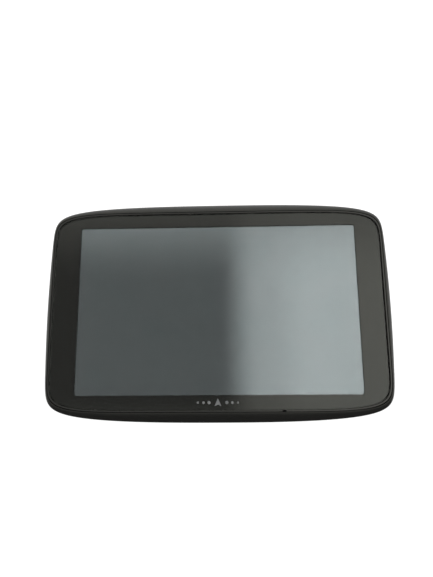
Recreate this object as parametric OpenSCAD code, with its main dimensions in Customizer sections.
// Portable road navigator with a 6 inch touch display, standing upright on its dock.
// +X is the viewer's right, +Z is up, the glass faces -Y.
// The origin is the mouth of the round dock socket, in the middle of the back.

/* [Body] */
// Width over the widest line of the shell
body_w = 163.6; // [162:0.1:168]
// Height over the widest line of the shell
body_h = 104.4; // [103:0.1:108]
// Depth from the glass to the rear plane
body_d = 23.5; // [22.5:0.1:25]
// Depth of the split between front bezel and rear cover
seam_d = 6.5; // [6:0.1:7]
// Shell thickness of the rear cover
wall = 2.0; // [1.6:0.1:2.2]

/* [Display] */
// Width of the viewing window
view_w = 131.0; // [126:0.1:132]
// Height of the viewing window
view_h = 78.9; // [76:0.1:80]
// Width of the cover glass
glass_w = 154.7; // [152:0.1:155]
// Height of the cover glass
glass_h = 92.0; // [91:0.1:92.4]
// Thickness of the cover glass
glass_t = 1.1; // [0.8:0.05:1.1]
// Width of the thin rim around the glass
rim_w = 0.85; // [0.7:0.05:0.95]

/* [Dock] */
// Width of the dock recess
dock_w = 44; // [40:0.5:46]
// Height of the dock recess
dock_h = 34; // [32:0.5:36]
// Depth of the dock recess
dock_depth = 1.8; // [1.4:0.1:1.9]
// Radius of the round locating socket
socket_r = 7.5; // [6:0.1:8]
// Depth of the round locating socket
socket_len = 3.0; // [2:0.1:3.2]

/* [Ports and button] */
// Sideways place of the micro USB port
usb_x = -18; // [-24:0.5:-14]
// Sideways place of the memory card slot
card_x = 14; // [12:0.5:18]
// Sideways place of the power button
button_x = -34; // [-36:0.5:-28]
// Length of the power button
button_w = 13; // [10:0.5:15]
// Thickness of the power button
button_t = 3.2; // [2.6:0.1:3.4]
// How far the power button stands out of the shell
button_proud = 0.8; // [0.5:0.1:1]
// Sideways place of the microphone slot in the rim
mic_x = 29.7; // [26:0.1:32]

/* [Inside] */
// Sideways place of the loudspeaker
speaker_x = 40.5; // [40:0.5:42]
// Radius of the loudspeaker
speaker_r = 13.5; // [12:0.1:13.6]
// Width of the battery
battery_w = 66; // [54:0.5:67]
// Height of the battery
battery_h = 42; // [36:0.5:44]
// Thickness of the battery
battery_t = 4.6; // [3.5:0.1:4.7]
// Half spacing of the case screws, sideways
screw_x = 60; // [59:0.5:61]
// Half spacing of the case screws, up and down
screw_z = 31; // [30:0.5:32]

/* [Hidden] */
$fn = 48;
dock_floor = body_d - dock_depth;
front_y = -dock_floor;
view_z = -0.25;
side_steps = 8;
top_steps = 11;
// Superellipse powers of the glass edge and of the widest shell line
glass_n = 7;
glass_m = 14.4;
shell_n = 2.56;
shell_m = 17;
shell_k = 0.03;
// Bend of the front's flare: 2 is a round quarter and 1 a straight slope
flare_bend = 1.65;
seat_gap = 0.15;
rim_a = glass_w / 2 + seat_gap + rim_w;
rim_b = glass_h / 2 + seat_gap + rim_w;
lip_a = rim_a + seat_gap;
lip_b = rim_b + seat_gap;
lip_d = 0.3;
step_d = 2.6;
flange_d = 3.4;
hollow_a = body_w / 2 - 3;
hollow_b = body_h / 2 - 3;
shell_inset = 27;
shell_bend = 2.2;
slice_t = 0.01;
// Depth layers behind the glass
ledge_d = 1.4;
chassis_d = 5.6;
chassis_t = 0.8;
board_d = 8.6;
board_t = 1.0;
parts_d = board_d + board_t;
battery_d = 12.6;
well_d = 16.5;
boss_d = 12.2;
plate_d = 19.5;
ceiling_d = body_d - wall;
port_d = parts_d + 1.35;
button_d = 11;
port_z = -(body_h / 2 - 3.5);
landing_z = port_z - 1.8;
mic_z = -46.3;
speaker_slots = 7;
slot_pitch = 3.2;
dock_pads = 8;
pad_pitch = 2.9;
pad_z = -12.8;
rim_screws = [[-75.2, 0], [75.2, 0], [-40, 46.1], [40, 46.1], [-40, -46.1], [40, -46.1]];
board_screws_at = [[-50, 40], [50, 40], [-50, -40], [50, -40]];
case_screws_at = [[-screw_x, screw_z], [screw_x, screw_z], [-screw_x, -screw_z], [screw_x, -screw_z]];

plastic_col = [0.20, 0.20, 0.19];
metal_col = [0.72, 0.73, 0.74];
gold_col = [0.85, 0.68, 0.28];
chip_col = [0.10, 0.10, 0.11];
flex_col = [0.62, 0.38, 0.14];

// ---- outlines ------------------------------------------------------------

// One quarter of a bowed rounded rectangle, from the side middle to the top middle.
// The corner, where it runs at 45 degrees, lies at the share q of the two powers.
function quarter(a, b, n, m, k) =
    let (q0 = b * n / (a * m), q = q0 * (1 - q0), vc = pow(q, 1 / m), wc = pow(1 - q, 1 / n))
    concat(
        [for (j = [0 : side_steps - 1])
            let (v = vc * sin(90 * j / side_steps))
            [a * (1 - k * v * v) * pow(1 - pow(v, m), 1 / n), b * v]],
        [for (j = [0 : top_steps])
            let (w = wc * cos(90 * j / top_steps), v = pow(1 - pow(w, n), 1 / m))
            [a * (1 - k * v * v) * w, b * v]]);

function around(q) =
    let (last = len(q) - 1)
    concat(q,
        [for (i = [last - 1 : -1 : 0]) [-q[i][0], q[i][1]]],
        [for (i = [1 : last]) [-q[i][0], -q[i][1]]],
        [for (i = [last - 1 : -1 : 1]) [q[i][0], -q[i][1]]]);

function outline(a, b, n = glass_n, m = glass_m, k = 0) = around(quarter(a, b, n, m, k));

// How far the rear shell has drawn in at a share t of its depth
function draw_in(t) = 1 - sqrt(max(0, 1 - pow(t, shell_bend)));

module rounded(w, h, r) {
    for (sx = [-1, 1], sz = [-1, 1])
        translate([sx * (w / 2 - r), sz * (h / 2 - r)])
            circle(r);
    square([w - 2 * r, h], center = true);
    square([w, h - 2 * r], center = true);
}

module pill(w, h) {
    square([w - h, h], center = true);
    for (s = [-1, 1])
        translate([s * (w - h) / 2, 0])
            circle(h / 2);
}

// ---- placing -------------------------------------------------------------

// A flat shape drawn in X and Z, filled from depth d over thickness t
module slab(d, t) {
    translate([0, front_y + d + t, 0])
        rotate([90, 0, 0])
            linear_extrude(t)
                children();
}

module block(x, z, d, w, h, t) {
    translate([x - w / 2, front_y + d, z - h / 2])
        cube([w, t, h]);
}

// A round rod along the depth, from depth d over length len
module rod(x, z, d, len, r) {
    translate([x, front_y + d, z])
        rotate([-90, 0, 0])
            cylinder(h = len, r = r);
}

module slice(d, a, b, n, m, k) {
    slab(d, slice_t)
        polygon(outline(a, b, n, m, k));
}

// A bent strip: legs are [depth, z] corners, drawn as a thin band of width w
module strip_dz(x, w, legs, t) {
    for (i = [0 : len(legs) - 2])
        let (p = legs[i], q = legs[i + 1])
        block(x, (p[1] + q[1]) / 2, min(p[0], q[0]) - t / 2, w,
            abs(p[1] - q[1]) + t, abs(p[0] - q[0]) + t);
}

// ---- shell solids ----------------------------------------------------------

// Convex front part of the shell, from the lip round to the seam
module front_solid() {
    hull()
        for (i = [0 : 8])
            let (s = 90 * i / 8, u = pow(sin(s), 2 / flare_bend),
                c = 1 - pow(cos(s), 2 / flare_bend))
            slice(lip_d + (seam_d - lip_d - slice_t) * c,
                lip_a + 0.1 + (body_w / 2 - lip_a - 0.1) * u,
                lip_b + 0.1 + (body_h / 2 - lip_b - 0.1) * u,
                glass_n + (shell_n - glass_n) * u,
                glass_m + (shell_m - glass_m) * u, shell_k * u);
}

// Convex rear part of the shell; thin = 0 is the outside, thin = wall the inside
module rear_solid(thin) {
    span = body_d - thin - seam_d;
    hull()
        for (t = [0, 0.1, 0.2, 0.32, 0.44, 0.56, 0.67, 0.77, 0.86, 0.93, 0.975, 1])
            let (u = draw_in(t) * (shell_inset - thin / 2))
            slice(seam_d + (span - slice_t) * t, body_w / 2 - thin - u, body_h / 2 - thin - u,
                shell_n, shell_m - 9 * t * t, shell_k);
}

// ---- front ---------------------------------------------------------------

module front_bezel() {
    color(plastic_col) {
        difference() {
            front_solid();
            slab(lip_d - 1, step_d - lip_d + 2)
                polygon(outline(lip_a, lip_b));
            slab(step_d, seam_d - step_d + 1)
                polygon(outline(hollow_a, hollow_b, shell_n, shell_m, shell_k));
        }
        // Tongue that centres the rear cover
        slab(seam_d - 0.5, 1.6)
            difference() {
                polygon(outline(hollow_a + 0.8, hollow_b + 0.8, shell_n, shell_m, shell_k));
                polygon(outline(hollow_a, hollow_b, shell_n, shell_m, shell_k));
            }
    }
}

module lens_frame() {
    color([0.24, 0.24, 0.23])
        difference() {
            union() {
                slab(0, ledge_d)
                    difference() {
                        polygon(outline(rim_a, rim_b));
                        polygon(outline(rim_a - rim_w, rim_b - rim_w));
                    }
                slab(ledge_d, step_d - ledge_d)
                    polygon(outline(rim_a, rim_b));
                slab(step_d, flange_d - step_d)
                    polygon(outline(hollow_a - 0.3, hollow_b - 0.3, shell_n, shell_m, shell_k));
                for (p = rim_screws)
                    rod(p[0], p[1], flange_d, chassis_d - flange_d, 2.3);
            }
            block(0, view_z, ledge_d - 0.1, 140, 87.4, 4);
            // Ways out for the two display ribbons
            block(0, -45.2, 1.9, 26, 2.6, 4);
            block(30, 44.6, ledge_d - 0.1, 12, 3.4, 4);
            slab(-1, 6)
                translate([mic_x, -rim_b + rim_w / 2])
                    pill(1.3, 0.6);
            for (p = rim_screws)
                rod(p[0], p[1], flange_d, 4, 1.0);
        }
}

module cover_glass() {
    color([0.55, 0.62, 0.66, 0.35])
        slab(0, glass_t)
            polygon(outline(glass_w / 2, glass_h / 2));
}

module mask_print() {
    color([0.04, 0.04, 0.04])
        slab(glass_t, 0.1)
            difference() {
                polygon(outline(glass_w / 2 - 0.15, glass_h / 2 - 0.15));
                translate([0, view_z])
                    rounded(view_w, view_h, 1.2);
            }
}

module glass_tape() {
    color([0.13, 0.13, 0.13])
        slab(glass_t + 0.1, ledge_d - glass_t - 0.1)
            difference() {
                polygon(outline(glass_w / 2 - 0.6, glass_h / 2 - 0.6));
                translate([0, view_z])
                    rounded(140.2, 87.4, 2);
            }
}

module touch_sensor() {
    color([0.50, 0.58, 0.60, 0.5])
        slab(glass_t + 0.1, 0.3)
            translate([0, view_z])
                square([139, 86], center = true);
}

module touch_flex() {
    d = glass_t + 0.475;
    color(flex_col)
        strip_dz(30, 10, [[d, 41], [d, 44.65], [8.4, 44.65], [8.4, 39]], 0.15);
}

module lcd_panel() {
    color([0.16, 0.18, 0.18])
        slab(1.7, 1.3)
            translate([0, view_z])
                square([137.8, 84.8], center = true);
}

module backlight_unit() {
    color([0.92, 0.92, 0.90])
        slab(3.05, 2.1)
            translate([0, view_z])
                square([137.8, 84.8], center = true);
}

module lcd_tray() {
    color(metal_col)
        difference() {
            block(0, view_z, 1.75, 139, 86, 3.75);
            block(0, view_z, 1, 138.2, 85.2, 4.2);
            block(0, view_z - 43, 1.5, 24, 3, 0.9);
        }
}

module lcd_flex() {
    color(flex_col)
        strip_dz(0, 22, [[2.1, -43], [2.1, -45.4], [8.4, -45.4], [8.4, -39]], 0.15);
}

// ---- chassis and main board ------------------------------------------------

module chassis_plate() {
    color(metal_col)
        difference() {
            union() {
                slab(chassis_d, chassis_t)
                    polygon(outline(hollow_a - 0.4, hollow_b - 0.4, shell_n, shell_m, shell_k));
                for (p = board_screws_at)
                    rod(p[0], p[1], chassis_d, board_d - chassis_d, 2.4);
                for (p = case_screws_at)
                    rod(p[0], p[1], chassis_d, boss_d - chassis_d, 3.2);
            }
            for (p = rim_screws)
                rod(p[0], p[1], chassis_d - 1, 3, 1.1);
            for (p = board_screws_at)
                rod(p[0], p[1], board_d - 1.8, 4, 1.0);
            for (p = case_screws_at)
                rod(p[0], p[1], chassis_d + 1.6, 8, 1.3);
            block(0, -45.4, chassis_d - 1, 24, 1.8, 3);
            block(30, 44.65, chassis_d - 1, 12, 1.8, 3);
            // Lightening windows
            for (sx = [-1, 1])
                slab(chassis_d - 1, 3)
                    translate([sx * 24, 4])
                        rounded(34, 30, 4);
        }
}

module rim_screws() {
    color(metal_col)
        for (p = rim_screws)
            screw(p[0], p[1], 3.8, chassis_d + chassis_t, 0.9, 2.0, 0.9);
}

// A pan head screw: shank from depth d0 to its seat, head standing behind the seat
module screw(x, z, d0, seat, r, head_r, head_t) {
    difference() {
        union() {
            rod(x, z, d0, seat - d0, r);
            rod(x, z, seat, head_t, head_r);
        }
        translate([x, front_y + seat + head_t - 0.5, z])
            rotate([-90, 0, 0])
                cylinder(h = 1, r = head_r * 0.45, $fn = 6);
    }
}

module main_board() {
    color([0.05, 0.28, 0.16])
        slab(board_d, board_t)
            difference() {
                translate([-55, -46.5])
                    square([110, 91]);
                for (p = board_screws_at)
                    translate(p)
                        circle(1.2);
                // Corner notches clear the case screw pillars
                for (sx = [-1, 1])
                    translate([sx * 56, 0])
                        square([6, 20], center = true);
            }
}

module board_screws() {
    color(metal_col)
        for (p = board_screws_at)
            screw(p[0], p[1], 7.2, parts_d, 0.85, 1.9, 0.9);
}

// A drawn metal can, open toward the board
module can(x, z, w, h, t) {
    difference() {
        block(x, z, parts_d, w, h, t);
        block(x, z, parts_d - 1, w - 0.5, h - 0.5, t + 0.75);
    }
}

module processor_shield() {
    color(metal_col)
        can(4, 2, 38, 30, 2.0);
}

module radio_shield() {
    color(metal_col)
        can(-36, 12, 20, 17, 1.9);
}

module processor_chip() {
    color(chip_col)
        block(-3, 3, parts_d, 15, 15, 1.2);
}

module memory_chips() {
    color(chip_col)
        for (z = [-5, 8])
            block(14, z, parts_d, 11, 9, 1.0);
}

module power_chips() {
    color(chip_col) {
        for (x = [-40, -31])
            block(x, -24, parts_d, 6, 6, 0.9);
        block(40, -20, parts_d, 7, 7, 1.0);
    }
}

module usb_connector() {
    color(metal_col) {
        difference() {
            block(usb_x, port_z + 2.8, port_d - 1.3, 7.6, 5.6, 2.6);
            block(usb_x, port_z + 2.3, port_d - 0.95, 6.9, 5.2, 1.9);
        }
        // Contact tongue
        block(usb_x, port_z + 3, port_d - 0.3, 4.2, 4.4, 0.6);
    }
}

module card_socket() {
    color(metal_col)
        difference() {
            block(card_x, port_z + 7.6, parts_d, 14.6, 15.2, 1.8);
            block(card_x, port_z + 7, parts_d + 0.4, 11.4, 15.0, 1.0);
        }
}

// ---- power button ----------------------------------------------------------

button_top = body_h / 2 - 0.9 - 0.2 + button_proud;
flange_top = body_h / 2 - 5.3;
stem_bottom = flange_top - 1.5;
plunger_top = stem_bottom - 0.3;
switch_z = flange_top - 4;

module power_button() {
    color([0.14, 0.14, 0.14]) {
        translate([button_x, front_y + button_d, flange_top - 0.1])
            linear_extrude(button_top - flange_top + 0.1)
                pill(button_w, button_t);
        block(button_x, flange_top - 0.4, button_d - button_t / 2 - 0.5, button_w + 2, 0.8,
            button_t + 1);
        translate([button_x, front_y + button_d, stem_bottom])
            cylinder(h = flange_top - stem_bottom - 0.5, r = 1.1);
    }
}

module tact_switch() {
    color(metal_col)
        difference() {
            block(button_x, switch_z, parts_d, 4.8, 3, 2.8);
            translate([button_x, front_y + button_d, switch_z])
                cylinder(h = 3, r = 1.1);
        }
}

module switch_plunger() {
    color([0.85, 0.85, 0.82])
        translate([button_x, front_y + button_d, plunger_top - 1.4])
            cylinder(h = 1.4, r = 0.8);
}

// ---- battery ---------------------------------------------------------------

battery_x = -14;
battery_z = -12;

module battery() {
    color([0.75, 0.76, 0.78])
        slab(battery_d, battery_t)
            translate([battery_x, battery_z])
                rounded(battery_w, battery_h, 2);
}

module battery_pad() {
    color([0.25, 0.25, 0.27])
        block(2, -2, parts_d + 2.0, 30, 18, battery_d - parts_d - 2.0);
}

module battery_plug() {
    color([0.90, 0.89, 0.84])
        difference() {
            block(-51, -18, parts_d, 4.4, 8, 3);
            for (z = [-20, -18, -16])
                block(-51, z, parts_d + 1.4, 2.4, 1, 3);
        }
}

module battery_leads() {
    x0 = battery_x - battery_w / 2;
    color([0.70, 0.12, 0.10])
        for (z = [-20, -18, -16])
            translate([0, front_y + battery_d + 1.6, z]) {
                translate([-51.5, 0, 0])
                    rotate([0, 90, 0])
                        cylinder(h = x0 + 51.5, r = 0.45);
                translate([-51, 0, 0])
                    rotate([90, 0, 0])
                        cylinder(h = 3, r = 0.45);
            }
}

// ---- loudspeaker -----------------------------------------------------------

module speaker_driver() {
    color([0.16, 0.16, 0.17])
        translate([speaker_x, front_y + ceiling_d - 0.9, 0])
            rotate([90, 0, 0])
                rotate_extrude()
                    polygon([[0, 5.4], [0, 1.6], [4, 1.0], [5, 1.4], [speaker_r - 2.6, 0.6],
                        [speaker_r - 2.2, 0], [speaker_r, 0], [speaker_r, 1.4],
                        [speaker_r - 3.6, 2.6], [speaker_r - 3.6, 5.4]]);
}

module speaker_gasket() {
    color([0.10, 0.10, 0.10])
        translate([speaker_x, front_y + ceiling_d, 0])
            rotate([90, 0, 0])
                linear_extrude(0.9)
                    difference() {
                        circle(speaker_r);
                        circle(speaker_r - 1.4);
                    }
}

module speaker_mesh() {
    color([0.08, 0.08, 0.08])
        rod(speaker_x, 0, ceiling_d - 0.2, 0.2, speaker_r - 1.5);
}

module speaker_leads() {
    color([0.12, 0.12, 0.12])
        for (x = [speaker_x - 1.5, speaker_x + 1.5]) {
            rod(x, -speaker_r - 1, parts_d, 8, 0.45);
            translate([x, front_y + parts_d + 7.6, -speaker_r - 1.4])
                cylinder(h = 4.9, r = 0.45);
        }
}

// ---- antennas and microphone -----------------------------------------------

module gps_antenna() {
    color([0.86, 0.84, 0.76])
        difference() {
            union() {
                block(26, 31, parts_d + 0.2, 25, 25, 4);
                block(26, 31, parts_d + 4.2, 21, 21, 0.1);
                rod(26, 31, parts_d, 0.4, 1.2);
            }
            rod(26, 31, parts_d + 3.6, 2, 0.8);
        }
}

module radio_antenna() {
    color(gold_col) {
        block(-3, 40.5, parts_d + 2.6, 20, 5, 0.3);
        for (x = [-12.4, -6])
            block(x, 40.5, parts_d, 0.6, 2.4, 2.7);
    }
}

module microphone() {
    color(metal_col)
        rod(mic_x, mic_z, 4.2, 1.3, 1.6);
}

module mic_boot() {
    color([0.07, 0.07, 0.07])
        difference() {
            rod(mic_x, mic_z, flange_d, 2.1, 2.2);
            rod(mic_x, mic_z, 4.2, 4, 1.6);
            rod(mic_x, mic_z, flange_d - 1, 4, 0.7);
        }
}

// ---- rear ------------------------------------------------------------------

module screw_bosses() {
    for (p = case_screws_at)
        rod(p[0], p[1], boss_d, body_d - boss_d, 4.7);
}

module rear_cover() {
    color(plastic_col)
        difference() {
            rear_solid(0);
            difference() {
                rear_solid(wall);
                screw_bosses();
            }
            for (p = case_screws_at) {
                rod(p[0], p[1], well_d, 10, 3.2);
                rod(p[0], p[1], boss_d - 1, 10, 1.6);
            }
            // Dock window
            slab(ceiling_d - 1, 4)
                rounded(dock_w, dock_h, 6);
            // Loudspeaker slots
            slab(ceiling_d - 1, 4)
                translate([speaker_x, 0])
                    for (i = [0 : speaker_slots - 1])
                        let (z = (i - (speaker_slots - 1) / 2) * slot_pitch)
                        translate([0, z])
                            pill(2 * sqrt(11.5 * 11.5 - z * z), 1.4);
            // Power button slot
            translate([button_x, front_y + button_d, 44])
                linear_extrude(12)
                    pill(button_w + 0.7, button_t + 0.7);
            // Plug way and shallow landing for the micro USB port
            translate([usb_x, front_y + port_d, -60])
                linear_extrude(14)
                    rounded(8.6, 3.6, 1);
            translate([usb_x, front_y + port_d, -60])
                linear_extrude(landing_z + 60)
                    rounded(12.6, 6.6, 1.4);
            // Memory card slot
            translate([card_x, front_y + parts_d + 0.9, -60])
                linear_extrude(14)
                    rounded(12.2, 1.8, 0.8);
        }
}

module dock_plate() {
    color([0.11, 0.11, 0.11])
        difference() {
            union() {
                slab(plate_d, ceiling_d - 0.1 - plate_d)
                    rounded(dock_w + 8, dock_h + 8, 7);
                slab(plate_d, dock_floor - plate_d)
                    rounded(dock_w - 0.4, dock_h - 0.4, 5.8);
                rod(0, 0, dock_floor - socket_len - 1.1, 3, socket_r + 2);
            }
            rod(0, 0, dock_floor - socket_len, socket_len + 1, socket_r);
            for (i = [0 : dock_pads - 1])
                let (x = (i - (dock_pads - 1) / 2) * pad_pitch) {
                    block(x, pad_z, dock_floor - 0.4, 2.1, 3.4, 1);
                    rod(x, pad_z, plate_d - 1, 4, 0.6);
                }
        }
}

module dock_contacts() {
    color(gold_col)
        for (i = [0 : dock_pads - 1])
            let (x = (i - (dock_pads - 1) / 2) * pad_pitch) {
                block(x, pad_z, dock_floor - 0.4, 2.0, 3.3, 0.4);
                rod(x, pad_z, plate_d, dock_floor - plate_d - 0.3, 0.5);
            }
}

module dock_magnets() {
    color(metal_col)
        for (x = [-15.5, 15.5])
            rod(x, 3, plate_d - 1.9, 1.9, 4.2);
}

module dock_board() {
    color([0.05, 0.28, 0.16])
        block(0, -13.6, plate_d - 0.8, 25, 6.4, 0.8);
}

module dock_flex() {
    t = 0.15;
    color(flex_col) {
        block(16.7, -15.5, plate_d - 0.8 - t, 15, 3, t);
        block(24.1, -15.5, parts_d, t, 3, plate_d - 0.8 - parts_d);
    }
}

module case_screws() {
    color(metal_col)
        for (p = case_screws_at)
            screw(p[0], p[1], 8.0, well_d, 1.2, 2.7, 1.6);
}

// ---- draw ------------------------------------------------------------------

front_bezel();
lens_frame();
cover_glass();
mask_print();
glass_tape();
touch_sensor();
touch_flex();
lcd_panel();
backlight_unit();
lcd_tray();
lcd_flex();
chassis_plate();
rim_screws();
main_board();
board_screws();
processor_shield();
radio_shield();
processor_chip();
memory_chips();
power_chips();
usb_connector();
card_socket();
power_button();
tact_switch();
switch_plunger();
battery();
battery_pad();
battery_plug();
battery_leads();
speaker_driver();
speaker_gasket();
speaker_mesh();
speaker_leads();
gps_antenna();
radio_antenna();
microphone();
mic_boot();
rear_cover();
dock_plate();
dock_contacts();
dock_magnets();
dock_board();
dock_flex();
case_screws();
